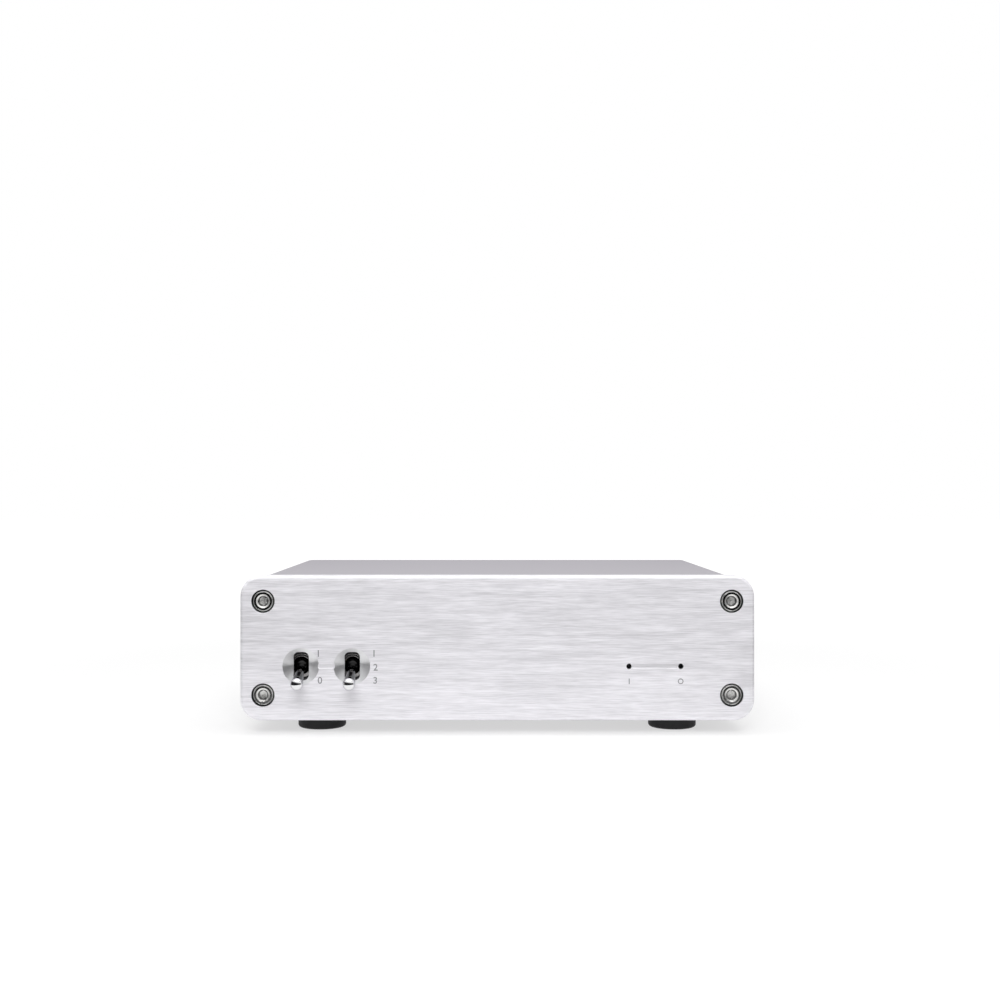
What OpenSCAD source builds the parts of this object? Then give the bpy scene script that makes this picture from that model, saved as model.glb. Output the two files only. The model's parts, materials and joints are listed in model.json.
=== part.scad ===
// Desktop digital-to-analogue converter: an extruded aluminium tube closed by a thick brushed
// front plate and a thin rear plate, with two lever switches, two pilot lights and six sockets.
// Millimetres. +X is right, +Y runs from the front plate to the rear, +Z is up.
// The origin is the bottom centre of the whole object, on the surface that the feet stand on.

/* [Case] */
// Width of the case tube
case_w = 146; // [132:1:176]
// Height of the case tube
case_h = 39.7; // [36:0.1:48]
// Length of the case tube, front to back
case_len = 105; // [87:1:127]
// Outer corner radius of the case tube
case_r = 5; // [4:0.5:6]
// Wall of the case tube
case_wall = 1.8; // [1.4:0.1:2.2]
// Screw port centre, in from the outer side of the tube
port_in = 5.6; // [5:0.1:6.8]
// Screw port centre, in from the outer top or bottom of the tube
port_up = 6.35; // [5.4:0.05:7.6]

/* [Front plate] */
// How far the front plate stands proud of the tube all round
panel_lip = 1; // [0:0.1:2]
// Thickness of the front plate
panel_t = 5; // [4.4:0.1:6]
// Corner radius of the front plate
panel_r = 6; // [4:0.5:8]
// Radius of the rounded front edge
panel_edge = 1.2; // [0.4:0.1:2]
// Diameter of the counterbores for the screw heads
counterbore_d = 6.7; // [6.3:0.1:7.2]
// Diameter of a pilot light hole
light_hole_d = 1.4; // [1:0.1:2.4]
// Width of the fine line that joins the two dishes, and the two lights
line_w = 1.2; // [0.8:0.1:1.6]
// Depth of that line
line_depth = 0.15; // [0.05:0.05:0.3]

/* [Rear plate] */
// Thickness of the rear plate
rear_t = 2; // [1.5:0.1:3]

/* [Lever switches] */
// Power switch centre, in from the left side of the tube
power_in = 16.5; // [14:0.1:20]
// Distance between the two switches
switch_pitch = 14.7; // [13.5:0.1:17]
// Diameter of the turned dish round each lever
dish_d = 10.5; // [9:0.1:12]
// Depth of the dish where its cone would meet the slot
dish_depth = 1.3; // [0.6:0.1:1.5]
// Width of the lever slot
slot_w = 4.4; // [4:0.1:5]
// Height of the lever slot
slot_h = 8.1; // [6:0.1:9.5]
// Pivot to the centre of the lever's round tip
lever_len = 11.94; // [10:0.02:15]
// Radius of the lever's round tip
lever_tip_r = 1.8; // [1.2:0.05:1.9]
// Angle of the lever from level at each end of its throw
lever_tilt = 19.5; // [14:0.5:19.5]
// Height of the lever pivot over the circuit board
switch_rise = 6.35; // [6.35:0.05:8]

/* [Pilot lights] */
// Right-hand light, in from the right side of the tube
light_in = 20.3; // [14:0.1:26]
// Distance between the two lights
light_pitch = 14.8; // [10:0.1:20]

/* [Circuit board] */
// Top of the circuit board over the bottom of the tube
board_rise = 8.3; // [7.6:0.1:10]
// Thickness of the circuit board
board_t = 1.6; // [1.2:0.1:2]
// Height of the two largest capacitors
reservoir_h = 19; // [12:1:19]

/* [Rear sockets] */
// Height of the phono sockets over the circuit board
phono_rise = 10; // [9:0.1:12]
// Length of the phono barrels behind the rear plate
phono_reach = 9; // [8:0.1:10]
// Outer diameter of a phono barrel
phono_d = 8.3; // [8.2:0.05:8.4]

/* [Feet] */
// Height of a rubber foot under its adhesive disc
foot_h = 4.9; // [3:0.1:8]
// Diameter of a rubber foot
foot_d = 14.3; // [10:0.1:18]
// Foot centre, in from the side of the tube
foot_in = 20.7; // [12:0.1:26]
// Foot centre, in from the front and rear ends of the tube
foot_end = 11; // [9:0.5:20]

/* [Hidden] */
$fn = 48;
clear = 0.05;          // round pieces that turn or slide in one another
gap = 0.3;             // pieces that are only near one another
skin = 0.01;           // how far a cutting tool runs past a face
corner_steps = 12;     // facets in a quarter-turn corner of an outline
edge_steps = 4;        // facets across the front plate's rounded edge

// heights
glue_t = 0.3;
case_z = foot_h + glue_t;
mid_z = case_z + case_h / 2;
board_z = case_z + board_rise;
axis_z = board_z + switch_rise;

// depths, with the whole object centred from the lever tip to the phono barrel ends
pivot_in = 3.4;
nose = lever_len * cos(lever_tilt) + lever_tip_r - pivot_in;
front_y = nose - (nose + panel_t + case_len + rear_t + phono_reach) / 2;
case_y = front_y + panel_t;
rear_y = case_y + case_len;
back_y = rear_y + rear_t;

// outlines
line_in = 0.8;         // how far the fine line runs into each dish
panel_w = case_w + 2 * panel_lip;
panel_h = case_h + 2 * panel_lip;
port_x = case_w / 2 - port_in;
port_z = case_h / 2 - port_up;
port_r = 1.4;
port_wall = 1.8;

// circuit board, held by its edges in grooves beside the lower screw ports
groove_wall = 1.4;
groove_depth = 2.6;
board_clear = 0.15;
groove_x = port_x - port_r - groove_wall;
groove_h = board_t + 2 * board_clear;
groove_top = board_rise + board_clear - case_h / 2;
board_w = 2 * (groove_x - gap);
board_end = 0.6;
board_y = case_y + board_end;
board_len = case_len - 2 * board_end;

// screws
shank_r = port_r - clear;
screw_len = 10;
socket_af = 2.5;
cap_d = 5.8;
cap_h = 2.9;
counterbore_depth = 3.2;
button_d = 5.7;
button_h = 1.65;
button_rim = 0.4;
button_round = 1.35;
button_socket = 1.2;
shank_hole_r = 1.65;

// feet
foot_x = case_w / 2 - foot_in;
foot_ys = [case_y + foot_end, rear_y - foot_end];
foot_names = ["foot_front_left", "foot_front_right", "foot_rear_left", "foot_rear_right"];
foot_taper = 0.06;
foot_edge = 0.85;

// lever switches
switch_xs = [-case_w / 2 + power_in, -case_w / 2 + power_in + switch_pitch];
switch_names = ["power_switch", "input_switch"];
switch_body_w = [6.9, 11.6];
switch_poles = [[0], [-2.6, 2.6]];
slot_r = 1.4;
web_y = 2;                  // front of the plate to the back of the web round the slot
bushing_d = 7;
bushing_bore = 5.1;
bushing_y = web_y + 0.2;
bushing_len = 5.6;
bushing_pocket = bushing_d + 0.6;
cross_pin_d = 1;
ball_r = 2.3;
stem_r = 1;
tail_r = 0.7;
tail_len = 8.2;
plunger_r = 1.2;
plunger_in = 6;             // pivot to the plunger's front end
plunger_tip = 9.4;          // pivot to the plunger's rounded end
plunger_wall = 0.35;
yoke_h = 1.4;
frame_t = 0.5;
frame_y = bushing_y + bushing_len;
frame_tab = 5;
body_y = frame_y + frame_t;
body_depth = 8.9;
body_h = 12.7;
body_wall = 0.9;
body_back = 1.2;
blade_y = 14.4;             // front of the plate to the rocking contact's axle
blade_tilt = 11.7;          // 0.6 of the lever's tilt
blade_t = 0.5;
blade_reach = 3.6;
strip_w = 0.6;
axle_r = 0.4;
lug_w = 1.2;
lug_t = 0.5;
lug_zs = [-4, 0, 4];
lug_reach = [2, 4.5, 7];
lug_below = 1.6;
lug_low = -switch_rise - board_t - lug_below;
cradle = 1.6;
pin_gap = 0.15;

// pilot lights
light_xs = [case_w / 2 - light_in - light_pitch, case_w / 2 - light_in];
light_names = ["power_light", "lock_light"];
light_d = 3;
light_skin = 1.4;
light_pocket_d = 3.5;
light_tip = 0.3;
light_body = 6;
light_flange_d = 3.8;
light_flange_t = 0.8;
light_holder_len = 4;
light_holder_w = 5;
light_lead = 0.5;
light_lead_x = 1.27;
light_hole_r = 0.6;

// rear sockets, evenly spaced along the board: right, left and coaxial phono, optical, USB, power
socket_margin = 9;
socket_pitch = (board_w - 2 * socket_margin) / 5;
function socket_x(i) = board_w / 2 - socket_margin - i * socket_pitch;
jack_names = ["right_jack", "left_jack", "coax_jack"];
jack_colors = ["firebrick", "whitesmoke", "darkorange"];
phono_z = board_z + phono_rise;
jack_block = [11, 11.5];
jack_top = 5.6;
jack_collar_d = 10.4;
jack_collar_hole = 10.8;
jack_collar_out = 0.4;
jack_root_r = phono_d / 2 - 0.2;
jack_seat = 4;              // rear plate's face to the barrel's inner end
jack_wall = 0.55;
jack_core_r = phono_d / 2 - jack_wall - clear;
jack_core_in = 0.6;
pin_bore_r = 1.65;
pin_wall = 0.45;
pin_len = 7;
pin_in = 0.4;

optical_x = socket_x(3);
optical_w = 10.6;
optical_h = 12.4;
optical_len = 15;
optical_out = 0.6;
optical_mouth = [8.2, 8.2];
optical_mouth_z = 5.8;
optical_cavity = 10.8;
optical_ceiling = 1.5;
shutter_t = 0.8;
shutter_in = 2;
shutter_axle_r = 0.5;
shutter_top = 0.6;
shutter_gap = 0.2;
receiver = [6.8, 7.8];
receiver_in = 0.4;
lens_bore_r = 1.3;
lens_bore_len = 2.6;

usb_x = socket_x(4);
usb_w = 12;
usb_h = 11;
usb_len = 16;
usb_skin = 0.4;
usb_out = 0.6;
usb_key = [8.45, 7.8];
usb_bevel = 1.9;
usb_depth = 9;
usb_tongue = [5.6, 3.2];
usb_tongue_in = 1.6;
usb_contact = [0.8, 0.2];
usb_contact_x = 1.25;
usb_contact_z = (usb_tongue[1] + usb_contact[1]) / 2 + clear;

dc_x = socket_x(5);
dc_w = 9;
dc_h = 11;
dc_len = 14;
dc_rise = 6.2;
dc_nose_d = 8.4;
dc_nose_hole = 8.8;
dc_bore_r = 3.1;
dc_depth = 9.5;
dc_pin_r = 1.05;
dc_pin_in = 1;
dc_pin_seat = 3;
leaf_w = 2.2;
leaf_t = 0.3;
leaf_slot = 1;              // how deep the leaf's slot runs below the bore
leaf_front = 2.6;           // rear plate's face to the leaf's free end
leaf_bump = 0.75;           // how far the leaf's crown rises from its slot's floor
rear_hole_gap = 0.2;

// ---- shared shapes ----

function arc(cx, cy, r, from) =
    [for (i = [0 : corner_steps]) [cx + r * cos(from + 90 * i / corner_steps),
                                   cy + r * sin(from + 90 * i / corner_steps)]];

// rectangle with round corners, centred
module rounded(w, h, r)
    polygon(concat(arc(w / 2 - r, h / 2 - r, r, 0), arc(r - w / 2, h / 2 - r, r, 90),
                   arc(r - w / 2, r - h / 2, r, 180), arc(w / 2 - r, r - h / 2, r, 270)));

// a profile drawn in X and Z, run along +Y from y
module along_y(y, len)
    translate([0, y + len, 0]) rotate([90, 0, 0]) linear_extrude(len) children();

// a profile drawn in Y and Z, run along X from x
module along_x(x, len)
    translate([x, 0, 0]) rotate([90, 0, 90]) linear_extrude(len) children();

module rod_y(r, y, len, r2 = undef)
    translate([0, y, 0]) rotate([-90, 0, 0]) cylinder(h = len, r1 = r, r2 = is_undef(r2) ? r : r2);

module rod_x(r, len)
    rotate([0, 90, 0]) cylinder(h = len, r = r, center = true);

module box(w, y, len, z, h)
    translate([-w / 2, y, z]) cube([w, len, h]);

module at_ports()
    for (sx = [-1, 1], sz = [-1, 1]) translate([sx * port_x, 0, mid_z + sz * port_z]) children();

module hex_recess(y, depth)
    translate([0, y, 0]) rotate([-90, 30, 0]) cylinder(h = depth, r = socket_af / sqrt(3), $fn = 6);

// ---- case ----

module front_plate_blank()
    translate([0, 0, mid_z]) hull()
        for (i = [0 : edge_steps]) {
            turn = 90 * i / edge_steps;
            inset = panel_edge * (1 - cos(turn));
            step = panel_edge * (1 - sin(turn));
            along_y(front_y + step, panel_t - step)
                rounded(panel_w - 2 * inset, panel_h - 2 * inset, panel_r - inset);
        }

// shallow V line at the height of the levers, its ends run out in what it joins
module fine_line(from, to)
    along_x(from, to - from) polygon([[front_y - line_depth, axis_z - line_w],
                                      [front_y + line_depth, axis_z],
                                      [front_y - line_depth, axis_z + line_w]]);

module front_panel()
    color("gainsboro") difference() {
        front_plate_blank();
        at_ports() {
            rod_y(shank_hole_r, front_y - skin, panel_t + 2 * skin);
            rod_y(counterbore_d / 2, front_y - skin, counterbore_depth + skin);
        }
        for (x = switch_xs) translate([x, 0, axis_z]) {
            rod_y(dish_d / 2, front_y, dish_depth, slot_w / 2);
            along_y(front_y - skin, panel_t + 2 * skin) rounded(slot_w, slot_h, slot_r);
            rod_y(bushing_pocket / 2, front_y + web_y, panel_t - web_y + skin);
        }
        for (x = light_xs) translate([x, 0, axis_z]) {
            rod_y(light_hole_d / 2, front_y - skin, panel_t);
            rod_y(light_pocket_d / 2, front_y + light_skin, panel_t - light_skin + skin);
        }
        fine_line(switch_xs[0] + dish_d / 2 - line_in, switch_xs[1] - dish_d / 2 + line_in);
        fine_line(light_xs[0], light_xs[1]);
    }

module groove_rail() {
    inner_x = case_w / 2 - case_wall;
    rail_h = groove_h + 2 * port_wall;
    translate([groove_x - groove_depth, groove_top + port_wall - rail_h])
        square([inner_x - groove_x + groove_depth + skin, rail_h]);
}

module groove()
    translate([groove_x - groove_depth - skin, groove_top - groove_h])
        square([groove_depth + skin, groove_h]);

module port_boss() {
    inner_x = case_w / 2 - case_wall;
    translate([port_x, 0]) circle(r = port_r + port_wall);
    translate([port_x, -port_wall]) square([inner_x - port_x + skin, 2 * port_wall]);
}

module case_profile()
    difference() {
        union() {
            difference() {
                rounded(case_w, case_h, case_r);
                rounded(case_w - 2 * case_wall, case_h - 2 * case_wall, case_r - case_wall);
            }
            for (side = [0, 1]) mirror([side, 0]) {
                groove_rail();
                for (sz = [-1, 1]) translate([0, sz * port_z]) port_boss();
            }
        }
        for (side = [0, 1]) mirror([side, 0]) {
            groove();
            for (sz = [-1, 1]) translate([port_x, sz * port_z]) circle(r = port_r);
        }
    }

module case_tube()
    color("silver") translate([0, 0, mid_z]) along_y(case_y, case_len) case_profile();

module rear_panel()
    color("silver") difference() {
        translate([0, 0, mid_z]) along_y(rear_y, rear_t) rounded(case_w, case_h, case_r);
        at_ports() rod_y(shank_hole_r, rear_y - skin, rear_t + 2 * skin);
        for (i = [0 : 2]) translate([socket_x(i), 0, phono_z])
            rod_y(jack_collar_hole / 2, rear_y - skin, rear_t + 2 * skin);
        translate([optical_x, 0, 0])
            box(optical_w + 2 * rear_hole_gap, rear_y - skin, rear_t + 2 * skin,
                board_z - rear_hole_gap, optical_h + 2 * rear_hole_gap);
        translate([usb_x, 0, 0])
            box(usb_w + 2 * rear_hole_gap, rear_y - skin, rear_t + 2 * skin,
                board_z - rear_hole_gap, usb_h + 2 * rear_hole_gap);
        translate([dc_x, 0, board_z + dc_rise]) rod_y(dc_nose_hole / 2, rear_y - skin, rear_t + 2 * skin);
    }

// ---- screws and feet ----

// socket-head cap screw, its head seated on the floor of the counterbore
module cap_screw() {
    seat = front_y + counterbore_depth;
    chamfer = 0.35;
    difference() {
        union() {
            rod_y(cap_d / 2 - chamfer, seat - cap_h, chamfer, cap_d / 2);
            rod_y(cap_d / 2, seat - cap_h + chamfer, cap_h - chamfer);
            rod_y(shank_r, seat - skin, screw_len);
        }
        hex_recess(seat - cap_h - skin, 1.6);
        rod_y(socket_af * 0.66, seat - cap_h - skin, 0.3, socket_af / 2 - 0.1);
    }
}

module front_screws()
    color("gray") at_ports() cap_screw();

// button-head screw, its head on the rear plate
module button_screw() {
    dome = button_h - button_rim;
    difference() {
        union() {
            rod_y(shank_r, back_y - screw_len, screw_len + skin);
            translate([0, back_y, 0]) rotate([-90, 0, 0]) rotate_extrude() polygon([
                [0, 0], [button_d / 2, 0],
                for (a = [0 : 15 : 90])
                    [button_d / 2 - button_round * (1 - cos(a)), button_rim + dome * sin(a)],
                [0, button_h]]);
        }
        hex_recess(back_y + button_h - button_socket, button_socket + skin);
    }
}

module rear_screws()
    color("gray") at_ports() button_screw();

module foot()
    color("black") rotate_extrude($fn = 72) polygon([
        [0, 0],
        for (a = [-90 : 15 : 0])
            [foot_d / 2 - foot_taper - foot_edge * (1 - cos(a)), foot_edge * (1 + sin(a))],
        [foot_d / 2, foot_h], [0, foot_h]]);

module foot_at(i)
    translate([(i % 2 == 0 ? -1 : 1) * foot_x, foot_ys[floor(i / 2)], 0]) foot();

module foot_adhesives()
    color("white") for (sx = [-1, 1], y = foot_ys)
        translate([sx * foot_x, y, foot_h]) cylinder(h = glue_t, r = foot_d / 2 - 0.8);

// ---- lever switches ----

module bushing()
    color("lightgray") difference() {
        union() {
            rod_y(bushing_d / 2 - 0.4, front_y + bushing_y, 0.4, bushing_d / 2);
            rod_y(bushing_d / 2, front_y + bushing_y + 0.4, bushing_len - 0.4);
        }
        rod_y(bushing_bore / 2, front_y + bushing_y - skin, bushing_len + 2 * skin);
        rod_y(bushing_bore / 2 + 0.5, front_y + bushing_y - skin, 0.5, bushing_bore / 2);
        translate([0, front_y + pivot_in, 0]) rod_x(cross_pin_d / 2 + clear, bushing_d + 1);
    }

module bat_lever()
    color("lightgray") translate([0, front_y + pivot_in, 0]) rotate([lever_tilt, 0, 0]) {
        sphere(r = ball_r);
        rod_x(cross_pin_d / 2, bushing_d - 0.4);
        rod_y(lever_tip_r * 0.97, -lever_len, lever_len - 1.4, stem_r);
        translate([0, -lever_len, 0]) sphere(r = lever_tip_r);
        rod_y(tail_r, 0, tail_len);
    }

// nylon plunger pushed over the lever's tail, with a cross bar where it works two poles
module plunger(poles) {
    round_y = plunger_tip - plunger_r;
    color("ivory") translate([0, front_y + pivot_in, 0]) rotate([lever_tilt, 0, 0]) difference() {
        union() {
            rod_y(plunger_r, plunger_in, round_y - plunger_in);
            translate([0, round_y, 0]) sphere(r = plunger_r);
            if (len(poles) > 1)
                box(poles[1] - poles[0] + lug_w, round_y - yoke_h, yoke_h, -yoke_h / 2, yoke_h);
        }
        rod_y(tail_r + clear, plunger_in - skin, tail_len - plunger_in + clear + skin);
    }
}

// folded steel cap over the front of the body, with a tab down each side
module switch_frame(w)
    color("silver") difference() {
        union() {
            box(w + 2 * frame_t, front_y + frame_y, frame_t, -body_h / 2, body_h);
            for (sx = [-1, 1]) translate([sx * (w + frame_t) / 2, 0, 0])
                box(frame_t, front_y + frame_y, frame_t + frame_tab, -body_h / 2 + 2, body_h - 4);
        }
        rod_y(bushing_bore / 2 + 0.25, front_y + frame_y - skin, frame_t + 2 * skin);
    }

module switch_body(w, poles)
    color("dimgray") difference() {
        box(w, front_y + body_y, body_depth, -body_h / 2, body_h);
        box(w - 2 * body_wall, front_y + body_y - skin, body_depth - body_back + skin,
            -body_h / 2 + body_wall, body_h - 2 * body_wall);
        for (x = poles, z = lug_zs) translate([x, 0, z])
            box(lug_w + 2 * clear, front_y + body_y, body_depth + skin,
                -lug_t / 2 - clear, lug_t + 2 * clear);
    }

// three lugs a pole, each bent down through the board; the middle one carries the blade's axle
module switch_terminals(poles) {
    inner = body_y + body_depth - body_back;
    color("gold") for (x = poles, k = [0 : 2]) translate([x, front_y, 0]) difference() {
        union() {
            box(lug_w, inner - 0.5, body_back + 0.5 + lug_reach[k], lug_zs[k] - lug_t / 2, lug_t);
            box(lug_w, inner + body_back + lug_reach[k] - lug_t, lug_t, lug_low, lug_zs[k] - lug_low);
            if (k == 1)
                box(lug_w, blade_y - cradle / 2, inner - blade_y + cradle / 2, -cradle / 2, cradle);
        }
        if (k == 1) translate([0, blade_y, 0]) rod_x(axle_r + clear, lug_w + 1);
    }
}

// rocking contact: an axle, two side strips and a bar at each end
module contact_blades(poles)
    color("goldenrod") for (x = poles) translate([x, front_y + blade_y, 0]) rotate([-blade_tilt, 0, 0]) {
        strip_in = lug_w / 2 + 0.15;
        rod_x(axle_r, 2 * (strip_in + strip_w));
        for (sx = [-1, 1]) translate([sx * (strip_in + strip_w / 2), 0, 0])
            box(strip_w, -blade_t / 2, blade_t, -blade_reach, 2 * blade_reach);
        for (z = [-blade_reach, blade_reach - strip_w])
            box(2 * (strip_in + strip_w), -blade_t / 2, blade_t, z, strip_w);
    }

module at_switch(i)
    translate([switch_xs[i], 0, axis_z]) children();

// ---- pilot lights ----

module light(i)
    color("whitesmoke") translate([light_xs[i], 0, axis_z]) {
        tip = front_y + light_skin + light_tip + light_d / 2;
        translate([0, tip, 0]) sphere(r = light_d / 2);
        rod_y(light_d / 2, tip, light_body - light_d / 2);
        rod_y(light_flange_d / 2, tip + light_body - light_d / 2 - light_flange_t, light_flange_t);
    }
light_back = light_skin + light_tip + light_body;

module light_holders()
    color("black") for (x = light_xs) translate([x, front_y, 0]) difference() {
        box(light_holder_w, light_back, light_holder_len, board_z, switch_rise + light_holder_w / 2);
        for (sx = [-1, 1]) translate([sx * light_lead_x, 0, 0])
            box(light_lead + 2 * pin_gap, light_back - skin, light_holder_len / 2 + pin_gap + skin,
                board_z - skin, switch_rise + light_lead / 2 + pin_gap + skin);
    }

module light_leads()
    color("silver") for (x = light_xs, sx = [-1, 1])
        translate([x + sx * light_lead_x, front_y + light_back, axis_z]) {
            box(light_lead, 0, light_holder_len / 2, -light_lead / 2, light_lead);
            box(light_lead, light_holder_len / 2 - light_lead, light_lead, lug_low, -lug_low);
        }

// ---- circuit board ----

module circuit_board()
    color("darkgreen") difference() {
        box(board_w, board_y, board_len, board_z - board_t, board_t);
        translate([0, front_y, board_z - board_t - skin]) {
            for (i = [0, 1], x = switch_poles[i], k = [0 : 2])
                translate([switch_xs[i] + x, body_y + body_depth + lug_reach[k] - lug_t, 0])
                    box(lug_w + 2 * pin_gap, -pin_gap, lug_t + 2 * pin_gap, 0, board_t + 2 * skin);
            for (x = light_xs, sx = [-1, 1])
                translate([x + sx * light_lead_x, light_back + light_holder_len / 2 - light_lead / 2, 0])
                    cylinder(h = board_t + 2 * skin, r = light_hole_r);
        }
    }

// a block of parts standing on the board, from a list of [x, y, w, d, h]
module blocks(list)
    for (b = list) translate([b[0], middle_y + b[1], board_z]) box(b[2], -b[3] / 2, b[3], 0, b[4]);

module cans(list)
    for (c = list) translate([c[0], middle_y + c[1], board_z]) {
        cylinder(h = 0.8, r = c[2]);
        translate([0, 0, 0.8]) cylinder(h = 1, r = c[2] - 0.3);
        translate([0, 0, 1.8]) cylinder(h = c[3] - 1.8, r = c[2]);
    }
middle_y = board_y + board_len / 2 + 1;

module chips()
    color("#222222") blocks([[-22, -4, 10, 10, 1.2], [2, -6, 7, 7, 1.4], [26, -4, 9.7, 4.4, 1.1]]);

module op_amps()
    color("#303030") blocks([[43, -9, 4.9, 3.9, 1.6], [43, 2, 4.9, 3.9, 1.6]]);

module regulators()
    color("#2a2a2a") blocks([[-43.5, 2, 6.5, 3.5, 1.7], [-43.5, 9, 6.5, 3.5, 1.7], [12, 9, 6.5, 3.5, 1.7]]);

module oscillators()
    color("silver") blocks([[-11, -10, 7, 5, 1.6], [-11, 2, 7, 5, 1.6]]);

module reservoir_capacitors()
    color("midnightblue") cans([[-34, -10, 5, reservoir_h], [-34, 4, 5, reservoir_h]]);

module filter_capacitors()
    color("darkslateblue") cans([for (x = [19, 27, 35], y = [4, 12]) [x, y, 3.15, 11]]);

module film_capacitors()
    color("firebrick") blocks([for (x = [35, 50], y = [-12, -5]) [x + (x > 40 ? 1 : -1), y, 3, 6.5, 7]]);

module mute_relay()
    color("whitesmoke") blocks([[52, 6, 9, 10, 8]]);

module inductors()
    color("gray") blocks([[-52, -8, 7, 7, 4.2], [-52, 2, 7, 7, 4.2]]);

// ---- phono sockets ----

module jack_block(i)
    color("black") translate([socket_x(i), 0, phono_z]) difference() {
        union() {
            box(jack_block[0], rear_y - jack_block[1], jack_block[1], -phono_rise, phono_rise + jack_top);
            rod_y(jack_collar_d / 2, rear_y - skin, rear_t + jack_collar_out + skin);
        }
        rod_y(jack_root_r + clear, back_y - jack_seat, jack_seat + jack_collar_out + skin);
    }

module jack_barrel(i)
    color("gold") translate([socket_x(i), 0, phono_z]) difference() {
        union() {
            rod_y(jack_root_r, back_y - jack_seat, jack_seat + phono_reach);
            rod_y(phono_d / 2, back_y + jack_collar_out, phono_reach - jack_collar_out);
        }
        rod_y(phono_d / 2 - jack_wall, back_y - jack_seat + jack_wall, jack_seat + phono_reach);
    }

module jack_core(i)
    color(jack_colors[i]) translate([socket_x(i), 0, phono_z]) difference() {
        rod_y(jack_core_r, core_y, back_y + phono_reach - jack_core_in - core_y);
        rod_y(pin_bore_r + pin_wall + clear, pin_y, pin_len + pin_in + skin);
    }
core_y = back_y - jack_seat + jack_wall + clear;
pin_y = back_y + phono_reach - jack_core_in - pin_in - pin_len;

module jack_pin_socket(i)
    color("gold") translate([socket_x(i), 0, phono_z]) difference() {
        rod_y(pin_bore_r + pin_wall, pin_y, pin_len);
        rod_y(pin_bore_r, pin_y + pin_wall, pin_len);
    }

// ---- optical socket ----

optical_face = back_y + optical_out;
shutter_y = optical_face - shutter_in;
mouth_top = optical_mouth_z + optical_mouth[1] / 2;
shutter_z = mouth_top + shutter_top;
shutter_bottom = optical_mouth_z - optical_mouth[1] / 2 + shutter_gap;
axle_len = optical_mouth[0] + 1;
receiver_z = optical_mouth_z - receiver[1] / 2;

module optical_housing() {
    cavity_y = optical_face - optical_cavity;
    color("#1c1c1c") translate([optical_x, 0, board_z]) difference() {
        box(optical_w, optical_face - optical_len, optical_len, 0, optical_h);
        box(optical_mouth[0], cavity_y, optical_cavity + skin,
            optical_mouth_z - optical_mouth[1] / 2, optical_mouth[1]);
        box(optical_mouth[0], cavity_y, shutter_y + shutter_axle_r + gap - cavity_y,
            mouth_top - skin, optical_ceiling + skin);
        translate([0, shutter_y, shutter_z]) rod_x(shutter_axle_r + clear, axle_len + 2 * clear);
        box(receiver[0] + 2 * clear, cavity_y + optical_cavity - optical_len - skin,
            optical_len - optical_cavity + 2 * skin, receiver_z - clear, receiver[1] + 2 * clear);
    }
}

module optical_shutter()
    color("#333333") translate([optical_x, shutter_y, board_z]) {
        translate([0, 0, shutter_z]) rod_x(shutter_axle_r, axle_len);
        box(optical_mouth[0] - 2 * shutter_gap, -shutter_t / 2, shutter_t,
            shutter_bottom, shutter_z - shutter_bottom);
    }

module optical_receiver()
    color("#2b1010") translate([optical_x, 0, board_z]) difference() {
        box(receiver[0], optical_face - optical_len + receiver_in,
            optical_len - optical_cavity - receiver_in, receiver_z, receiver[1]);
        translate([0, 0, optical_mouth_z])
            rod_y(lens_bore_r, optical_face - optical_cavity - lens_bore_len, lens_bore_len + skin);
    }

// ---- USB socket ----

usb_face = back_y + usb_out;
usb_mid = usb_h / 2;

module usb_shell()
    color("silver") translate([usb_x, 0, board_z]) difference() {
        box(usb_w, usb_face - usb_len, usb_len, 0, usb_h);
        box(usb_w - 2 * usb_skin, usb_face - usb_len - skin, usb_len + 2 * skin,
            usb_skin, usb_h - 2 * usb_skin);
    }

module usb_key_outline() {
    w = usb_key[0] / 2;
    h = usb_key[1] / 2;
    polygon([[-w, -h], [w, -h], [w, h - usb_bevel], [w - usb_bevel, h],
             [usb_bevel - w, h], [-w, h - usb_bevel]]);
}

module usb_insert()
    color("whitesmoke") translate([usb_x, 0, board_z]) {
        inner_w = usb_w - 2 * usb_skin - 2 * clear;
        inner_h = usb_h - 2 * usb_skin - 2 * clear;
        difference() {
            box(inner_w, usb_face - usb_len + gap, usb_len - 2 * gap, usb_skin + clear, inner_h);
            translate([0, 0, usb_mid]) along_y(usb_face - usb_depth, usb_depth) usb_key_outline();
        }
        box(usb_tongue[0], usb_face - usb_depth - skin, usb_depth - usb_tongue_in,
            usb_mid - usb_tongue[1] / 2, usb_tongue[1]);
    }

module usb_contacts()
    color("gold") translate([usb_x, 0, board_z])
        for (sx = [-1, 1], sz = [-1, 1])
            translate([sx * usb_contact_x, 0, usb_mid + sz * usb_contact_z])
                box(usb_contact[0], usb_face - usb_depth + clear, usb_depth - usb_tongue_in - 1,
                    -usb_contact[1] / 2, usb_contact[1]);

// ---- power socket ----

module dc_housing()
    color("#1a1a1a") translate([dc_x, 0, board_z]) difference() {
        union() {
            box(dc_w, rear_y - dc_len, dc_len, 0, dc_h);
            translate([0, 0, dc_rise]) rod_y(dc_nose_d / 2, rear_y - skin, rear_t + skin);
        }
        translate([0, 0, dc_rise]) rod_y(dc_bore_r, back_y - dc_depth, dc_depth + skin);
        translate([0, 0, dc_rise])
            rod_y(dc_pin_r + clear, back_y - dc_depth - dc_pin_seat, dc_pin_seat + skin);
        box(leaf_w + 2 * clear, back_y - dc_depth, dc_depth - leaf_front + gap, leaf_floor, dc_bore_r);
    }
leaf_floor = dc_rise - dc_bore_r - leaf_slot;

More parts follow.
